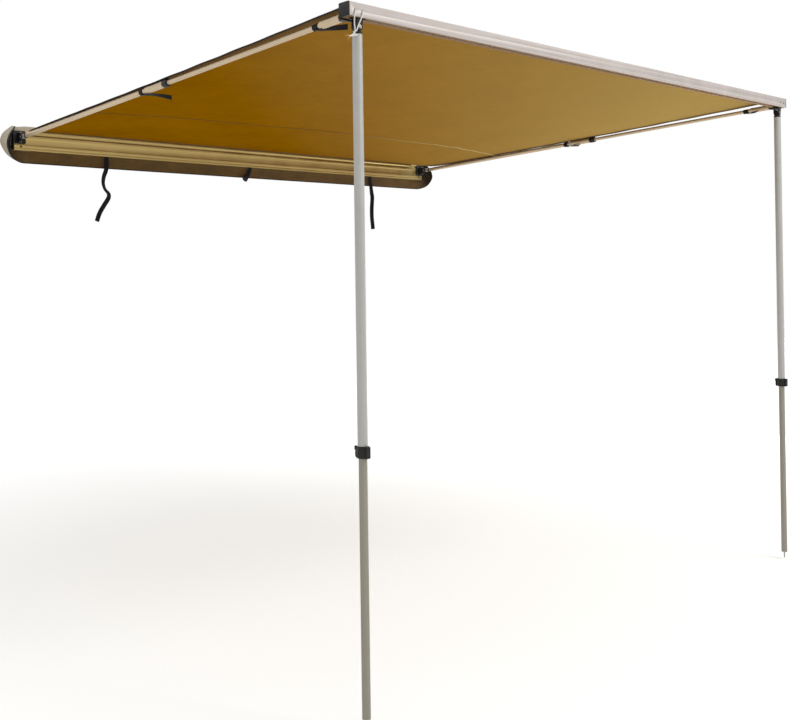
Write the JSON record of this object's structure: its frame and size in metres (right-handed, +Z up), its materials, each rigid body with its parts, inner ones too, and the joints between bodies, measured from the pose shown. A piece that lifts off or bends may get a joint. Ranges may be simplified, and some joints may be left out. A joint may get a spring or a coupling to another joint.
{
  "type": "vehicle side awning",
  "caption": "Pull-out vehicle side awning, shown open: ochre canopy between a back rail and a front rail on sliding arms, with folding telescopic legs and an open storage bag.",
  "frame": {"origin": "middle of the back rail's flat rear face, which the vehicle holds", "axes": "+X along the rails, -Y outward from the vehicle, +Z up"},
  "size_m": [2.6384, 2.3497, 2.013],
  "materials": {
    "champagne_aluminium": "satin champagne anodised extrusion",
    "pale_aluminium": "pale satin extrusion",
    "leg_aluminium": "satin drawn tube",
    "arm_aluminium": "satin drawn tube",
    "black_plastic": "matt moulded black",
    "steel": "plain turned and pressed steel",
    "canopy_cloth": "plain coated canvas, ochre",
    "bag_cloth": "coated cloth, beige outside and brown inside",
    "black_webbing": "woven black webbing and tape",
    "white_cord": "braided off-white cord"
  },
  "bodies": {
    "back_rail": {"back_rail": "champagne_aluminium", "bag_flap": "bag_cloth", "bag_end_left": "bag_cloth", "bag_end_right": "bag_cloth", "bag_zip": "black_webbing", "bag_lid": "bag_cloth", "strap_left": "black_webbing", "strap_right": "black_webbing", "strap_middle": "black_webbing", "strap_buckle": "black_plastic", "arm_bracket_left": "black_plastic", "arm_swing_pin_left": "steel", "arm_bracket_right": "black_plastic", "arm_swing_pin_right": "steel"},
    "canopy_sheet": {"canopy": "canopy_cloth"},
    "front_rail": {"front_rail": "pale_aluminium", "guy_cord": "white_cord", "corner_block_left": "black_plastic", "leg_bracket_left": "black_plastic", "leg_pin_left": "steel", "corner_block_right": "black_plastic", "leg_bracket_right": "black_plastic", "leg_pin_right": "steel"},
    "yoke_left": {"arm_yoke_left": "black_plastic", "arm_tilt_pin_left": "steel"},
    "rear_arm_left": {"arm_root_left": "steel", "arm_ring_left": "black_plastic", "arm_rear_tube_left": "arm_aluminium", "arm_grip_left": "arm_aluminium", "arm_collar_left": "black_plastic", "arm_band_rear_left": "black_webbing"},
    "front_arm_left": {"arm_front_tube_left": "arm_aluminium", "arm_end_sleeve_left": "arm_aluminium", "arm_hook_left": "black_plastic", "arm_band_front_left": "black_webbing"},
    "upper_leg_left": {"leg_head_left": "black_plastic", "leg_upper_tube_left": "pale_aluminium", "leg_clamp_left": "black_plastic"},
    "clamp_lever_left": {"leg_lever_left": "black_plastic"},
    "lower_leg_left": {"leg_lower_tube_left": "leg_aluminium", "leg_foot_left": "steel"},
    "yoke_right": {"arm_yoke_right": "black_plastic", "arm_tilt_pin_right": "steel"},
    "rear_arm_right": {"arm_root_right": "steel", "arm_ring_right": "black_plastic", "arm_rear_tube_right": "arm_aluminium", "arm_grip_right": "arm_aluminium", "arm_collar_right": "black_plastic", "arm_band_rear_right": "black_webbing"},
    "front_arm_right": {"arm_front_tube_right": "arm_aluminium", "arm_end_sleeve_right": "arm_aluminium", "arm_hook_right": "black_plastic", "arm_band_front_right": "black_webbing"},
    "upper_leg_right": {"leg_head_right": "black_plastic", "leg_upper_tube_right": "pale_aluminium", "leg_clamp_right": "black_plastic"},
    "clamp_lever_right": {"leg_lever_right": "black_plastic"},
    "lower_leg_right": {"leg_lower_tube_right": "leg_aluminium", "leg_foot_right": "steel"}
  },
  "joints": [
    {"name": "canopy_tilt", "type": "hinge", "parent": "back_rail", "child": "canopy_sheet", "pos_m": [0, -0.084, 0.01], "axis": [1, 0, 0], "range_deg": [-3, 9]},
    {"name": "front_rail_slide", "type": "slide", "parent": "canopy_sheet", "child": "front_rail", "axis": [0, 0.9991, -0.0413], "range_m": [0, 0.8], "deforming": ["canopy"]},
    {"name": "arm_swing_left", "type": "hinge", "parent": "back_rail", "child": "yoke_left", "pos_m": [-1.228, -0.058, 0.01], "axis": [0, 0, 1], "range_deg": [0, 90]},
    {"name": "arm_tilt_left", "type": "hinge", "parent": "yoke_left", "child": "rear_arm_left", "pos_m": [-1.228, -0.084, 0.01], "axis": [1, 0, 0], "range_deg": [-3, 9]},
    {"name": "arm_slide_left", "type": "slide", "parent": "rear_arm_left", "child": "front_arm_left", "axis": [0, 0.9991, -0.0413], "range_m": [0, 0.8]},
    {"name": "leg_fold_left", "type": "hinge", "parent": "front_rail", "child": "upper_leg_left", "pos_m": [-1.208, -2.317, 0.069], "axis": [0, 1, 0], "range_deg": [-90, 0]},
    {"name": "clamp_lever_left", "type": "hinge", "parent": "upper_leg_left", "child": "clamp_lever_left", "pos_m": [-1.208, -2.2948, -1.1005], "axis": [1, 0, 0], "range_deg": [0, 110]},
    {"name": "leg_slide_left", "type": "slide", "parent": "upper_leg_left", "child": "lower_leg_left", "axis": [0, 0, 1], "range_m": [-0.05, 0.67]},
    {"name": "arm_swing_right", "type": "hinge", "parent": "back_rail", "child": "yoke_right", "pos_m": [1.228, -0.058, 0.01], "axis": [0, 0, 1], "range_deg": [-90, 0]},
    {"name": "arm_tilt_right", "type": "hinge", "parent": "yoke_right", "child": "rear_arm_right", "pos_m": [1.228, -0.084, 0.01], "axis": [1, 0, 0], "range_deg": [-3, 9]},
    {"name": "arm_slide_right", "type": "slide", "parent": "rear_arm_right", "child": "front_arm_right", "axis": [0, 0.9991, -0.0413], "range_m": [0, 0.8]},
    {"name": "leg_fold_right", "type": "hinge", "parent": "front_rail", "child": "upper_leg_right", "pos_m": [1.208, -2.317, 0.069], "axis": [0, 1, 0], "range_deg": [0, 90]},
    {"name": "clamp_lever_right", "type": "hinge", "parent": "upper_leg_right", "child": "clamp_lever_right", "pos_m": [1.208, -2.2948, -1.1005], "axis": [1, 0, 0], "range_deg": [0, 110]},
    {"name": "leg_slide_right", "type": "slide", "parent": "upper_leg_right", "child": "lower_leg_right", "axis": [0, 0, 1], "range_m": [-0.05, 0.67]}
  ],
  "couplings": [
    {"joint": "arm_tilt_left", "follows": "canopy_tilt", "ratio": 1},
    {"joint": "arm_slide_left", "follows": "front_rail_slide", "ratio": 1},
    {"joint": "arm_tilt_right", "follows": "canopy_tilt", "ratio": 1},
    {"joint": "arm_slide_right", "follows": "front_rail_slide", "ratio": 1}
  ]
}
